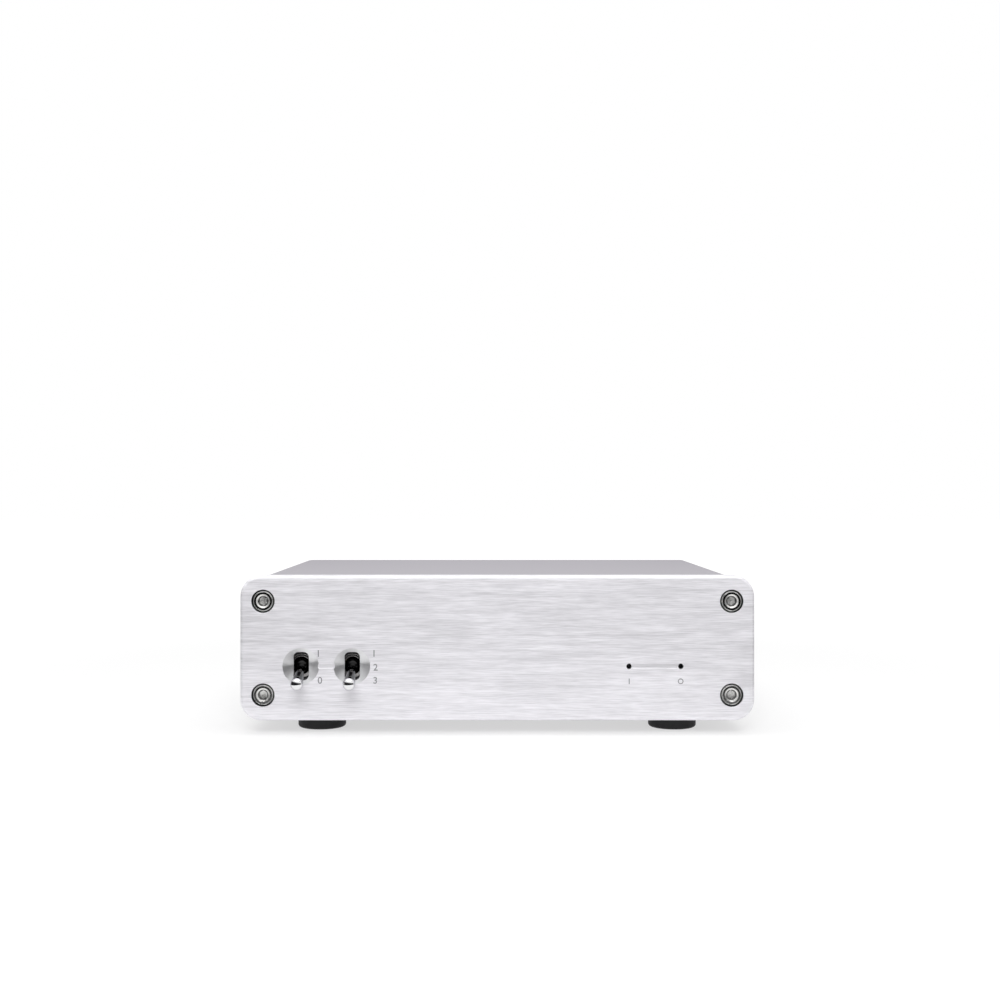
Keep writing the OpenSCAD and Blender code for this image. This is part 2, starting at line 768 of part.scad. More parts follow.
module dc_spring_contact() {
    inner = back_y - dc_depth;
    outer = back_y - leaf_front;
    crown = outer - 2;
    top = leaf_floor + leaf_bump;
    color("silver") translate([dc_x, 0, board_z]) along_x(-leaf_w / 2, leaf_w) polygon([
        [inner, leaf_floor], [inner + 2, leaf_floor], [crown, top], [outer, leaf_floor + gap],
        [outer, leaf_floor + gap + leaf_t], [crown, top + leaf_t], [inner + 2, leaf_floor + leaf_t],
        [inner, leaf_floor + leaf_t]]);
}

module dc_pin()
    color("silver") translate([dc_x, 0, board_z + dc_rise]) {
        rod_y(dc_pin_r, back_y - dc_depth - dc_pin_seat, dc_depth + dc_pin_seat - dc_pin_in - dc_pin_r);
        translate([0, back_y - dc_pin_in - dc_pin_r, 0]) sphere(r = dc_pin_r);
    }

// ---- the object ----

front_panel();
case_tube();
rear_panel();
front_screws();
rear_screws();
foot_adhesives();
for (i = [0 : 3])
    foot_at(i);
circuit_board();
for (i = [0, 1])
    light(i);
light_holders();
light_leads();
for (i = [0, 1]) {
    name = switch_names[i];
    at_switch(i) bushing();
    at_switch(i) switch_frame(switch_body_w[i]);
    at_switch(i) switch_body(switch_body_w[i], switch_poles[i]);
    at_switch(i) switch_terminals(switch_poles[i]);
    at_switch(i) bat_lever();
    at_switch(i) plunger(switch_poles[i]);
    at_switch(i) contact_blades(switch_poles[i]);
}
for (i = [0 : 2]) {
    name = jack_names[i];
    jack_block(i);
    jack_barrel(i);
    jack_core(i);
    jack_pin_socket(i);
}
optical_housing();
optical_shutter();
optical_receiver();
usb_shell();
usb_insert();
usb_contacts();
dc_housing();
dc_pin();
dc_spring_contact();
chips();
op_amps();
regulators();
oscillators();
reservoir_capacitors();
filter_capacitors();
film_capacitors();
mute_relay();
inductors();
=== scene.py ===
# Desktop digital-to-analogue converter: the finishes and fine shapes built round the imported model
import json
import math

import bmesh
import bpy
from mathutils import Matrix, Vector


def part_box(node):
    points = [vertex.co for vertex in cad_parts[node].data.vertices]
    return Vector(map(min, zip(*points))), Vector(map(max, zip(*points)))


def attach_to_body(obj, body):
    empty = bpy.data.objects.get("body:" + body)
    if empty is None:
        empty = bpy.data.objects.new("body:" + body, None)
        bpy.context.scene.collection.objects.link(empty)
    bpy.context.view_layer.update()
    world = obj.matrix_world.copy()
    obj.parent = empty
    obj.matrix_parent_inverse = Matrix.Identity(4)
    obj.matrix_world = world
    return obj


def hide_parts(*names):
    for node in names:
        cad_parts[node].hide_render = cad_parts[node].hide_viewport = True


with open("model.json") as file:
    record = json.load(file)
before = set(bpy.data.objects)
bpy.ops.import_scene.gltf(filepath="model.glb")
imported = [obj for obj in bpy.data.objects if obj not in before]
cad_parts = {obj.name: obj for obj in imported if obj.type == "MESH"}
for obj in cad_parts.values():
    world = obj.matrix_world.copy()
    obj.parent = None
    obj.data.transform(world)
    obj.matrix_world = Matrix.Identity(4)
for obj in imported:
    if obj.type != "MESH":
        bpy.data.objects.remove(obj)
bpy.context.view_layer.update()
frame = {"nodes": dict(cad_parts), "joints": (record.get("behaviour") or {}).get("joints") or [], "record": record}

mm = 0.001
slotOf = {part["node"]: part["material_slot"] for part in frame["record"]["subparts"]}
bodyOf = {node: body for body, nodes in frame["record"]["behaviour"]["bodies"].items() for node in nodes}
jointOf = {joint["name"]: joint for joint in frame["joints"]}
print("frame loaded:", len(frame["nodes"]), "nodes")


# shader building

def put(tree, kind, inputs=None, **settings):
    node = tree.nodes.new(kind)
    for key, value in settings.items():
        setattr(node, key, value)
    for key, value in (inputs or {}).items():
        if isinstance(value, bpy.types.NodeSocket):
            tree.links.new(value, node.inputs[key])
        else:
            node.inputs[key].default_value = value
    return node


def shaderGroup(name, inputs, outputs):
    group = bpy.data.node_groups.new(name, "ShaderNodeTree")
    for label, kind, value in inputs:
        socket = group.interface.new_socket(label, in_out="INPUT", socket_type=kind)
        if value is not None:
            socket.default_value = value
    for label, kind in outputs:
        group.interface.new_socket(label, in_out="OUTPUT", socket_type=kind)
    return group, put(group, "NodeGroupInput").outputs, put(group, "NodeGroupOutput")


def makeStreaks():  # long thin lines, as left by a brushing belt or an extrusion die
    group, given, result = shaderGroup(
        "streaks",
        [("Vector", "NodeSocketVector", None), ("Line Size", "NodeSocketVector", (0.008, 0.0003, 0.0003)),
         ("Contrast", "NodeSocketFloat", 0.5)],
        [("Mask", "NodeSocketFloat")])
    spread = put(group, "ShaderNodeVectorMath", {0: given["Vector"], 1: given["Line Size"]},
                 operation="DIVIDE")
    fine = put(group, "ShaderNodeTexNoise", {"Vector": spread.outputs[0], "Scale": 1, "Detail": 3,
                                             "Roughness": 0.62})
    broad = put(group, "ShaderNodeTexNoise", {"Vector": spread.outputs[0], "Scale": 0.21, "Detail": 2})
    both = put(group, "ShaderNodeMix", {"Factor": 0.35, "A": fine.outputs["Fac"], "B": broad.outputs["Fac"]})
    low = put(group, "ShaderNodeMath", {0: 0.5, 1: given["Contrast"]}, operation="SUBTRACT")
    high = put(group, "ShaderNodeMath", {0: 0.5, 1: given["Contrast"]}, operation="ADD")
    mask = put(group, "ShaderNodeMapRange", {"Value": both.outputs[0], "From Min": low.outputs[0],
                                             "From Max": high.outputs[0]})
    group.links.new(mask.outputs[0], result.inputs["Mask"])
    return group


def makeGrain():  # even speckle, as on blasted metal, moulded plastic and rubber
    group, given, result = shaderGroup(
        "grain",
        [("Vector", "NodeSocketVector", None), ("Grain Size", "NodeSocketFloat", 0.0004),
         ("Patch Size", "NodeSocketFloat", 0.02), ("Patches", "NodeSocketFloat", 0.3)],
        [("Mask", "NodeSocketFloat")])
    fineScale = put(group, "ShaderNodeMath", {0: 1, 1: given["Grain Size"]}, operation="DIVIDE")
    patchScale = put(group, "ShaderNodeMath", {0: 1, 1: given["Patch Size"]}, operation="DIVIDE")
    fine = put(group, "ShaderNodeTexNoise", {"Vector": given["Vector"], "Scale": fineScale.outputs[0],
                                             "Detail": 2})
    patch = put(group, "ShaderNodeTexNoise", {"Vector": given["Vector"], "Scale": patchScale.outputs[0],
                                              "Detail": 2})
    both = put(group, "ShaderNodeMix", {"Factor": given["Patches"], "A": fine.outputs["Fac"],
                                        "B": patch.outputs["Fac"]})
    mask = put(group, "ShaderNodeMapRange", {"Value": both.outputs[0], "From Min": 0.3, "From Max": 0.7})
    group.links.new(mask.outputs[0], result.inputs["Mask"])
    return group


def makeTurning():  # fine rings round the piece's own Y axis, as a lathe tool leaves
    group, given, result = shaderGroup(
        "turning",
        [("Vector", "NodeSocketVector", None), ("Pitch", "NodeSocketFloat", 0.0001)],
        [("Mask", "NodeSocketFloat")])
    flat = put(group, "ShaderNodeVectorMath", {0: given["Vector"], 1: (1, 0, 1)}, operation="MULTIPLY")
    radius = put(group, "ShaderNodeVectorMath", {0: flat.outputs[0]}, operation="LENGTH")
    along = put(group, "ShaderNodeSeparateXYZ", {0: given["Vector"]})
    reach = put(group, "ShaderNodeMath", {0: radius.outputs["Value"], 1: along.outputs["Y"]}, operation="ADD")
    count = put(group, "ShaderNodeMath", {0: reach.outputs[0], 1: given["Pitch"]}, operation="DIVIDE")
    lines = put(group, "ShaderNodeTexNoise", {"W": count.outputs[0], "Scale": 1, "Detail": 1},
                noise_dimensions="1D")
    mask = put(group, "ShaderNodeMapRange", {"Value": lines.outputs["Fac"], "From Min": 0.3, "From Max": 0.7})
    group.links.new(mask.outputs[0], result.inputs["Mask"])
    return group


patterns = {"streaks": makeStreaks(), "grain": makeGrain(), "turning": makeTurning()}


def grained(fine, patch, share):  # sizes in metres, and the share that the broad patches have in the mask
    return dict(pattern="grain", values={"Grain Size": fine, "Patch Size": patch, "Patches": share})


def streaked(line, contrast):
    return dict(pattern="streaks", values={"Line Size": line, "Contrast": contrast})


# tint, gloss and bump say how far the pattern moves the colour, the roughness and, in mm, the height
finishes = {
    "front_plate": dict(colour=(0.845, 0.833, 0.87), metallic=0.35, roughness=0.46,
                        **streaked((0.0062, 0.002, 0.00028), 0.14), tint=0.15, gloss=0.14, bump=0.004),
    "case_aluminium": dict(colour=(0.378, 0.36, 0.396), metallic=0.35, roughness=0.5,
                           **streaked((0.0006, 0.05, 0.0006), 0.3), tint=0.025, gloss=0.06, bump=0.003),
    "screw_steel": dict(colour=(0.62, 0.61, 0.60), metallic=1, roughness=0.16,
                        **grained(0.00012, 0.0012, 0.5), tint=0.08, gloss=0.1, bump=0.004),
    "foot_rubber": dict(colour=(0.018, 0.018, 0.019), metallic=0, roughness=0.62,
                        **grained(0.00025, 0.004, 0.35), tint=0.25, gloss=0.12, bump=0.02),
    "foam_adhesive": dict(colour=(0.6, 0.6, 0.58), metallic=0, roughness=0.9,
                          **grained(0.0003, 0.003, 0.3), tint=0.12, gloss=0.05, bump=0.03),
    "board_laminate": dict(colour=(0.012, 0.07, 0.03), metallic=0, roughness=0.35,
                           **grained(0.0006, 0.006, 0.6), tint=0.3, gloss=0.1, bump=0.01),
    "lever_chrome": dict(colour=(0.8, 0.8, 0.81), edgeTint=(0.5, 0.5, 0.52, 1), metallic=1, roughness=0.05,
                         **grained(0.0003, 0.002, 0.6), tint=0.02, gloss=0.03, bump=0.0),
    "switch_nickel": dict(colour=(0.5, 0.49, 0.48), metallic=1, roughness=0.16,
                          **grained(0.0002, 0.002, 0.5), tint=0.08, gloss=0.1, bump=0.003),
    "plunger_nylon": dict(colour=(0.75, 0.72, 0.62), metallic=0, roughness=0.45,
                          **grained(0.0003, 0.002, 0.4), tint=0.06, gloss=0.1, bump=0.005),
    "switch_plastic": dict(colour=(0.03, 0.03, 0.032), metallic=0, roughness=0.5,
                           **grained(0.0002, 0.004, 0.3), tint=0.2, gloss=0.1, bump=0.01),
    "switch_contacts": dict(colour=(0.8, 0.72, 0.5), metallic=1, roughness=0.25,
                            **grained(0.0002, 0.001, 0.5), tint=0.08, gloss=0.08, bump=0.002),
    "light_lens": dict(colour=(0.02, 0.02, 0.022), metallic=0, roughness=0.12,
                       **grained(0.0004, 0.002, 0.5), tint=0.2, gloss=0.05, bump=0.0),
    "light_holder_plastic": dict(colour=(0.02, 0.02, 0.02), metallic=0, roughness=0.55,
                                 **grained(0.0002, 0.003, 0.3), tint=0.2, gloss=0.1, bump=0.01),
    "tinned_leads": dict(colour=(0.7, 0.7, 0.7), metallic=1, roughness=0.3,
                         **grained(0.0002, 0.001, 0.5), tint=0.1, gloss=0.1, bump=0.003),
    "socket_plastic": dict(colour=(0.022, 0.022, 0.024), metallic=0, roughness=0.42,
                           **grained(0.00022, 0.005, 0.3), tint=0.2, gloss=0.12, bump=0.008),
    "gold_plate": dict(colour=(0.83, 0.62, 0.28), metallic=1, roughness=0.2,
                       **grained(0.0003, 0.003, 0.6), tint=0.06, gloss=0.08, bump=0.002),
    "red_plastic": dict(colour=(0.50, 0.018, 0.014), metallic=0, roughness=0.38,
                        **grained(0.0003, 0.003, 0.4), tint=0.1, gloss=0.1, bump=0.006),
    "white_plastic": dict(colour=(0.74, 0.74, 0.72), metallic=0, roughness=0.4,
                          **grained(0.0003, 0.003, 0.4), tint=0.05, gloss=0.1, bump=0.006),
    "orange_plastic": dict(colour=(0.72, 0.22, 0.02), metallic=0, roughness=0.38,
                           **grained(0.0003, 0.003, 0.4), tint=0.08, gloss=0.1, bump=0.006),
    "shutter_plastic": dict(colour=(0.045, 0.045, 0.048), metallic=0, roughness=0.4,
                            **grained(0.0002, 0.003, 0.3), tint=0.2, gloss=0.1, bump=0.008),
    "receiver_resin": dict(colour=(0.05, 0.01, 0.01), metallic=0, roughness=0.2,
                           **grained(0.0003, 0.003, 0.4), tint=0.2, gloss=0.08, bump=0.0),
    "socket_steel": dict(colour=(0.6, 0.6, 0.6), metallic=1, roughness=0.28,
                         **streaked((0.0004, 0.006, 0.0004), 0.3), tint=0.08, gloss=0.12, bump=0.003),
    "chip_epoxy": dict(colour=(0.02, 0.02, 0.02), metallic=0, roughness=0.6,
                       **grained(0.00015, 0.003, 0.2), tint=0.3, gloss=0.1, bump=0.01),
    "crystal_can": dict(colour=(0.66, 0.65, 0.62), metallic=1, roughness=0.3,
                        **streaked((0.004, 0.0003, 0.0003), 0.3), tint=0.06, gloss=0.1, bump=0.002),
    "capacitor_sleeve": dict(colour=(0.015, 0.02, 0.06), metallic=0, roughness=0.35,
                             **grained(0.0004, 0.005, 0.5), tint=0.2, gloss=0.1, bump=0.004),
    "film_dip": dict(colour=(0.45, 0.03, 0.02), metallic=0, roughness=0.3,
                     **grained(0.0006, 0.003, 0.5), tint=0.12, gloss=0.1, bump=0.02),
    "relay_case": dict(colour=(0.7, 0.7, 0.66), metallic=0, roughness=0.45,
                       **grained(0.0003, 0.004, 0.3), tint=0.05, gloss=0.1, bump=0.006),
    "ferrite": dict(colour=(0.06, 0.06, 0.065), metallic=0.1, roughness=0.65,
                    **grained(0.0003, 0.002, 0.4), tint=0.25, gloss=0.1, bump=0.02),
    # finishes of single faces and added marks: cut faces, hole walls and the fine line's floor darkened as painted
    # shade, front screw heads darkened as a painted dark reflection, hex sockets and chamfer rings lightened as
    # painted light, prints, pivot balls darkened as a painted dark reflection
    "turned_aluminium": dict(colour=(0.92, 0.92, 0.93), metallic=0.88, roughness=0.29, pattern="turning",
                             values={"Pitch": 0.0005}, tint=0.012, gloss=0.02, bump=0.0),
    # walls of holes, pockets and lever slots: aluminium darkened to paint the shade inside them
    "hole_wall_painted_shade": dict(colour=(0.16, 0.16, 0.165), metallic=1, roughness=0.35,
                            **grained(0.0002, 0.002, 0.5), tint=0.1, gloss=0.1, bump=0.004),
    # front screw steel darkened to paint the dark reflection in its polished face
    "cap_steel_painted_dark_reflection": dict(colour=(0.17, 0.17, 0.17), metallic=1, roughness=0.2,
                      **grained(0.00012, 0.0012, 0.5), tint=0.15, gloss=0.1, bump=0.004),
    # floor of the fine line: the plate's finish made darker to paint the shade in the groove
    "line_floor_painted_shade": dict(colour=(0.74, 0.73, 0.76), metallic=0.35, roughness=0.46,
                       **streaked((0.0062, 0.002, 0.00028), 0.14), tint=0.12, gloss=0.14, bump=0.003),
    # rough socket steel made lighter than the heads' steel: painted light in the hex sockets and a painted
    # highlight on the front heads' chamfer ring
    "hex_socket_painted_light": dict(colour=(0.85, 0.84, 0.82), metallic=0.9, roughness=0.36,
                          **grained(0.00055, 0.0012, 0.3), tint=0.2, gloss=0.25, bump=0.12),
    "grey_print": dict(colour=(0.24, 0.24, 0.25), metallic=0, roughness=0.6,
                       **grained(0.0001, 0.001, 0.3), tint=0.1, gloss=0.05, bump=0.002),
    "white_print": dict(colour=(0.8, 0.8, 0.78), metallic=0, roughness=0.6,
                        **grained(0.0001, 0.001, 0.3), tint=0.06, gloss=0.05, bump=0.002),
    # the chrome pivot ball made near black to paint the dark reflection it shows inside the slot
    "pivot_ball_painted_dark_reflection": dict(colour=(0.028, 0.028, 0.028), metallic=1, roughness=0.07,
                       **grained(0.0002, 0.002, 0.4), tint=0.15, gloss=0.08, bump=0.0),
}


def makeFinish(name, recipe):
    material = bpy.data.materials.new(name)
    material.use_nodes = True
    tree = material.node_tree
    shader = tree.nodes["Principled BSDF"]
    place = put(tree, "ShaderNodeTexCoord").outputs["Object"]
    marks = put(tree, "ShaderNodeGroup", node_tree=patterns[recipe["pattern"]])
    tree.links.new(place, marks.inputs["Vector"])
    for key, value in recipe["values"].items():
        marks.inputs[key].default_value = value
    mask = marks.outputs["Mask"]
    dark = [channel * (1 - recipe["tint"]) for channel in recipe["colour"]] + [1]
    light = [min(1, channel * (1 + recipe["tint"])) for channel in recipe["colour"]] + [1]
    colour = put(tree, "ShaderNodeMix", {"Factor": mask, 6: dark, 7: light}, data_type="RGBA")
    level, swing = recipe["roughness"], recipe["gloss"] / 2
    rough = put(tree, "ShaderNodeMapRange", {"Value": mask, "To Min": level - swing, "To Max": level + swing})
    tree.links.new(colour.outputs[2], shader.inputs["Base Color"])
    tree.links.new(rough.outputs[0], shader.inputs["Roughness"])
    shader.inputs["Metallic"].default_value = recipe["metallic"]
    shader.inputs["Specular Tint"].default_value = recipe.get("edgeTint", (1, 1, 1, 1))
    if recipe["bump"]:
        relief = put(tree, "ShaderNodeBump", {"Height": mask, "Strength": 1, "Distance": recipe["bump"] * mm})
        tree.links.new(relief.outputs[0], shader.inputs["Normal"])
    return material


materials = {name: makeFinish(name, recipe) for name, recipe in finishes.items()}
print("finishes made:", len(materials))


# mesh building

def addPiece(name, mesh):
    piece = bpy.data.objects.new(name, mesh)
    bpy.context.scene.collection.objects.link(piece)
    return piece


def meshFrom(name, points, faces):
    mesh = bpy.data.meshes.new(name)
    mesh.from_pydata(points, [], faces)
    return mesh


def reworked(mesh, work=lambda build: None):  # runs bmesh steps on a mesh, then turns its faces outwards
    build = bmesh.new()
    build.from_mesh(mesh)
    work(build)
    bmesh.ops.recalc_face_normals(build, faces=build.faces)
    build.to_mesh(mesh)
    build.free()
    return mesh


def rounded(corners, steps=4):  # (a, b, radius) corners of an outline, each radius made an arc
    points = []
    for i, (a, b, radius) in enumerate(corners):
        here = Vector((a, b))
        if radius <= 0:
            points.append(tuple(here))
            continue
        before = (Vector(corners[i - 1][:2]) - here).normalized()
        after = (Vector(corners[(i + 1) % len(corners)][:2]) - here).normalized()
        half = before.angle(after) / 2
        centre = here + (before + after).normalized() * radius / math.sin(half)
        start = here + before * radius / math.tan(half) - centre
        end = here + after * radius / math.tan(half) - centre
        sweep = start.angle_signed(end)
        for step in range(steps + 1):
            points.append(tuple(centre + Matrix.Rotation(-sweep * step / steps, 2) @ start))
    return points


def roundRectangle(width, height, radius, steps):
    a, b = width / 2, height / 2
    return rounded([(-a, -b, radius), (a, -b, radius), (a, b, radius), (-a, b, radius)], steps)


def lathe(name, profile, sides, place=None):  # (radius, y) profile turned about the Y axis
    points, faces, rings = [], [], []
    for radius, y in profile:
        first = len(points)
        if radius < 1e-9:
            points.append((0, y, 0))
            rings.append([first] * sides)
            continue
        for i in range(sides):
            turn = 2 * math.pi * i / sides
            points.append((radius * math.cos(turn), y, radius * math.sin(turn)))
        rings.append(list(range(first, first + sides)))
    ends = [] if profile[0][0] < 1e-9 else [(rings[-1], rings[0])]
    for low, high in list(zip(rings, rings[1:])) + ends:
        for i in range(sides):
            k = (i + 1) % sides
            face = list(dict.fromkeys([low[i], low[k], high[k], high[i]]))
            if len(face) > 2:
                faces.append(face)
    mesh = meshFrom(name, points, faces)
    if place is not None:
        mesh.transform(place)
    return reworked(mesh)


def prism(name, outline, yLow, yHigh, place):  # (x, z) outline run along Y
    count = len(outline)
    points = [(x, y, z) for y in (yLow, yHigh) for x, z in outline]
    faces = [list(range(count)), list(range(2 * count - 1, count - 1, -1))]
    faces += [[i, (i + 1) % count, (i + 1) % count + count, i + count] for i in range(count)]
    mesh = meshFrom(name, points, faces)
    mesh.transform(place)
    return reworked(mesh)


def settle(piece):  # turns a piece's modifiers into its own mesh
    evaluated = piece.evaluated_get(bpy.context.evaluated_depsgraph_get())
    mesh = bpy.data.meshes.new_from_object(evaluated)
    piece.modifiers.clear()
    piece.data = mesh
    return piece


def carve(piece, *cutters):
    for mesh in cutters:
        cutter = addPiece("cutter", mesh)
        step = piece.modifiers.new("cut", "BOOLEAN")
        step.object = cutter
        step.operation = "DIFFERENCE"
        step.solver = "EXACT"
        settle(piece)
        bpy.data.objects.remove(cutter)
    return piece


def joined(name, meshes):
    build = bmesh.new()
    for mesh in meshes:
        build.from_mesh(mesh)
    whole = bpy.data.meshes.new(name)
    build.to_mesh(whole)
    build.free()
    return whole


def soften(piece, width):
    edge = piece.modifiers.new("edge", "BEVEL")
    edge.width = width
    edge.segments = 2
    edge.limit_method = "ANGLE"
    edge.angle_limit = math.radians(35)
    edge.use_clamp_overlap = True
    return settle(piece)


def smooth(piece, angle):
    for face in piece.data.polygons:
        face.use_smooth = True
    piece.data.set_sharp_from_angle(angle=math.radians(angle))
    return piece


def coat(piece, *slots):
    piece.data.materials.clear()
    for name in slots:
        piece.data.materials.append(materials[name])
    return piece


def turned(name, slot, profile, sides, place):  # a lathed piece with one finish
    return coat(addPiece(name, lathe(name, profile, sides, place)), slot)


def attach(piece, *nodes):  # the piece stands for these nodes, on their body
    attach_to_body(piece, bodyOf[nodes[0]])
    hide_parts(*nodes)
    return piece


def middle(node):
    low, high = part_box(node)
    return (low + high) / 2


def at(x, z):
    return Matrix.Translation((x, 0, z))


plateLow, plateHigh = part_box("front_panel")
caseLow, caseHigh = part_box("case_tube")
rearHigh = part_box("rear_panel")[1]
midZ = (caseLow.z + caseHigh.z) / 2
leverPivots = [Vector(jointOf[side + "_lever_tilt"]["pos_m"]) for side in ("power", "input")]
lightSpots = [middle(node) for node in ("power_light", "lock_light")]
axisZ = leverPivots[0].z


# front screws and rear screws: one screw of each kind, set at four corners

def makeCornerTree():
    tree = bpy.data.node_groups.new("fourCorners", "GeometryNodeTree")
    sockets = {}
    for label, kind in [("Spacing X", "NodeSocketFloat"), ("Spacing Z", "NodeSocketFloat"),
                        ("Middle Z", "NodeSocketFloat"), ("Twist", "NodeSocketFloat"),
                        ("Screw", "NodeSocketObject"), ("Finish", "NodeSocketMaterial"),
                        ("Painted Light Finish", "NodeSocketMaterial")]:
        sockets[label] = tree.interface.new_socket(label, in_out="INPUT", socket_type=kind).identifier
    tree.interface.new_socket("Geometry", in_out="OUTPUT", socket_type="NodeSocketGeometry")
    given = put(tree, "NodeGroupInput").outputs
    grid = put(tree, "GeometryNodeMeshGrid", {"Size X": given["Spacing X"], "Size Y": given["Spacing Z"],
                                              "Vertices X": 2, "Vertices Y": 2})
    lift = put(tree, "ShaderNodeCombineXYZ", {"Z": given["Middle Z"]})
    stand = put(tree, "GeometryNodeTransform", {"Geometry": grid.outputs["Mesh"],
                                                "Translation": lift.outputs[0],
                                                "Rotation": (math.pi / 2, 0, 0)})
    low = put(tree, "ShaderNodeMath", {0: given["Twist"], 1: -1}, operation="MULTIPLY")
    turn = put(tree, "FunctionNodeRandomValue", {2: low.outputs[0], 3: given["Twist"], "Seed": 7})
    spin = put(tree, "ShaderNodeCombineXYZ", {"Y": turn.outputs[1]})
    screw = put(tree, "GeometryNodeObjectInfo", {"Object": given["Screw"]})
    placed = put(tree, "GeometryNodeInstanceOnPoints", {"Points": stand.outputs[0],
                                                        "Rotation": spin.outputs[0],
                                                        "Instance": screw.outputs["Geometry"]})
    real = put(tree, "GeometryNodeRealizeInstances", {0: placed.outputs[0]})
    painted = put(tree, "GeometryNodeSetMaterial", {0: real.outputs[0], "Material": given["Finish"]})
    # faces marked on the screw take the lighter socket steel as painted light
    paintedLightSelection = put(tree, "GeometryNodeInputNamedAttribute", {"Name": "forged"}, data_type="BOOLEAN")
    forged = put(tree, "GeometryNodeSetMaterial", {0: painted.outputs[0], "Selection": paintedLightSelection.outputs[0],
                                                   "Material": given["Painted Light Finish"]})
    put(tree, "NodeGroupOutput", {0: forged.outputs[0]})
    return tree, sockets


def setScrews(name, screw, node, headRadius, twist, finish):
    low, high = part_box(node)
    holder = addPiece(name, bpy.data.meshes.new(name))
    step = holder.modifiers.new("corners", "NODES")
    step.node_group = cornerTree
    step[cornerSockets["Spacing X"]] = high.x - low.x - 2 * headRadius
    step[cornerSockets["Spacing Z"]] = high.z - low.z - 2 * headRadius
    step[cornerSockets["Middle Z"]] = (low.z + high.z) / 2
    step[cornerSockets["Twist"]] = math.radians(twist)
    step[cornerSockets["Screw"]] = screw
    step[cornerSockets["Finish"]] = materials[finish]
    step[cornerSockets["Painted Light Finish"]] = materials["hex_socket_painted_light"]
    settle(holder)
    bpy.data.objects.remove(screw)
    return attach(smooth(holder, 28), node)


def hexCutter(flats, draft, mouth, floor, point):  # hexagon hole from y mouth to floor, with a punched point
    radius = flats / math.sqrt(3)
    rings = [(0, mouth), (radius, mouth), (radius * draft, floor), (0, point)]
    return lathe("hex", rings, 6, Matrix.Rotation(math.pi / 6, 4, "Y"))


capScrew = dict(head=2.9 * mm, height=2.9 * mm, edge=0.3 * mm, face=2.0 * mm, dip=0.3 * mm, throat=1.5 * mm,
                flats=2.5 * mm, draft=0.84, deep=1.1 * mm, point=0.3 * mm, shank=1.35 * mm,
                chamfer=0.4 * mm)
buttonScrew = dict(head=2.85 * mm, rim=0.4 * mm, height=1.65 * mm, crown=1.6 * mm, face=1.62 * mm,
                   lead=0.1 * mm, dip=0.3 * mm, throat=1.36 * mm, flats=2.5 * mm, draft=0.9, deep=1.1 * mm,
                   point=0.2 * mm, shank=1.35 * mm, chamfer=0.3 * mm)
hair = 0.01 * mm  # a gap too small to see, for telling faces apart


def markPaintedLight(screw, inside):  # inside(radius, y) picks the faces that take the lighter socket steel, painted light in the hex socket and a painted highlight on a chamfer ring
    spots = [face.center for face in screw.data.polygons]
    picked = [inside(math.hypot(spot.x, spot.z), spot.y) for spot in spots]
    screw.data.attributes.new("forged", "BOOLEAN", "FACE").data.foreach_set("value", picked)
    return screw


def makeCapScrew():
    c = capScrew
    low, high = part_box("front_screws")
    top, seat, end = low.y, low.y + c["height"], high.y
    profile = [(0, top), (c["head"] - c["edge"], top), (c["head"], top + c["edge"]), (c["head"], seat),
               (c["shank"], seat), (c["shank"], end - c["chamfer"]), (c["shank"] - c["chamfer"], end),
               (0, end)]
    screw = addPiece("capScrew", lathe("capScrew", profile, 72))
    rim = lathe("rim", [(0, top - mm), (c["face"], top - mm), (c["face"], top), (c["throat"], top + c["dip"]),
                        (0, top + c["dip"])], 72)
    floor = top + c["deep"]
    carve(screw, rim, hexCutter(c["flats"], c["draft"], top + c["dip"] * 0.5, floor, floor + c["point"]))
    # the chamfer ring takes the lighter steel as a painted highlight, the socket as painted light
    return markPaintedLight(screw, lambda radius, y: top + hair < y < top + c["edge"] - hair
                      or radius < c["flats"] * 0.38 and top < y < seat)


def makeButtonScrew():
    b = buttonScrew
    low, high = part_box("rear_screws")
    top, seat, end = high.y, high.y - b["height"], low.y
    dome = [(b["crown"] + (b["head"] - b["crown"]) * math.cos(turn),
             seat + b["rim"] + (b["height"] - b["rim"]) * math.sin(turn))
            for turn in [math.pi / 2 * i / 10 for i in range(11)]]
    profile = [(0, end), (b["shank"] - b["chamfer"], end), (b["shank"], end + b["chamfer"]),
               (b["shank"], seat), (b["head"], seat)] + dome + [(0, top)]
    screw = addPiece("buttonScrew", lathe("buttonScrew", profile, 72))
    rim = lathe("rim", [(0, top + mm), (b["face"], top + mm), (b["face"], top - b["lead"]),
                        (b["throat"], top - b["dip"]), (0, top - b["dip"])], 72)
    floor = top - b["deep"]
    carve(screw, rim, hexCutter(b["flats"], b["draft"], top + mm, floor, floor - b["point"]))
    # the socket takes the lighter steel as painted light
    return markPaintedLight(screw, lambda radius, y: radius < b["flats"] * 0.6
                      and floor - mm < y < top - b["dip"] - hair)


cornerTree, cornerSockets = makeCornerTree()
# front heads take steel darkened as a painted dark reflection
setScrews("frontScrews", makeCapScrew(), "front_screws", capScrew["head"], 8, "cap_steel_painted_dark_reflection")
setScrews("rearScrews", makeButtonScrew(), "rear_screws", buttonScrew["head"], 25, "screw_steel")
print("screws set")


# front plate

plate = dict(corner=6 * mm, edge=1.05 * mm, backEdge=0.15 * mm, bore=3.35 * mm, boreDepth=3.2 * mm,
             shank=1.65 * mm, mouth=0.12 * mm, dish=5.25 * mm, dishDepth=1.3 * mm,
             slot=(4.4 * mm, 8.1 * mm, 1.4 * mm), web=2 * mm, pocket=3.8 * mm, lightHole=0.7 * mm,
             lightSkin=1.4 * mm, lightPocket=1.75 * mm, link=1.2 * mm, linkDepth=0.15 * mm, runOut=0.6 * mm,
             brightWall=0.9 * mm)


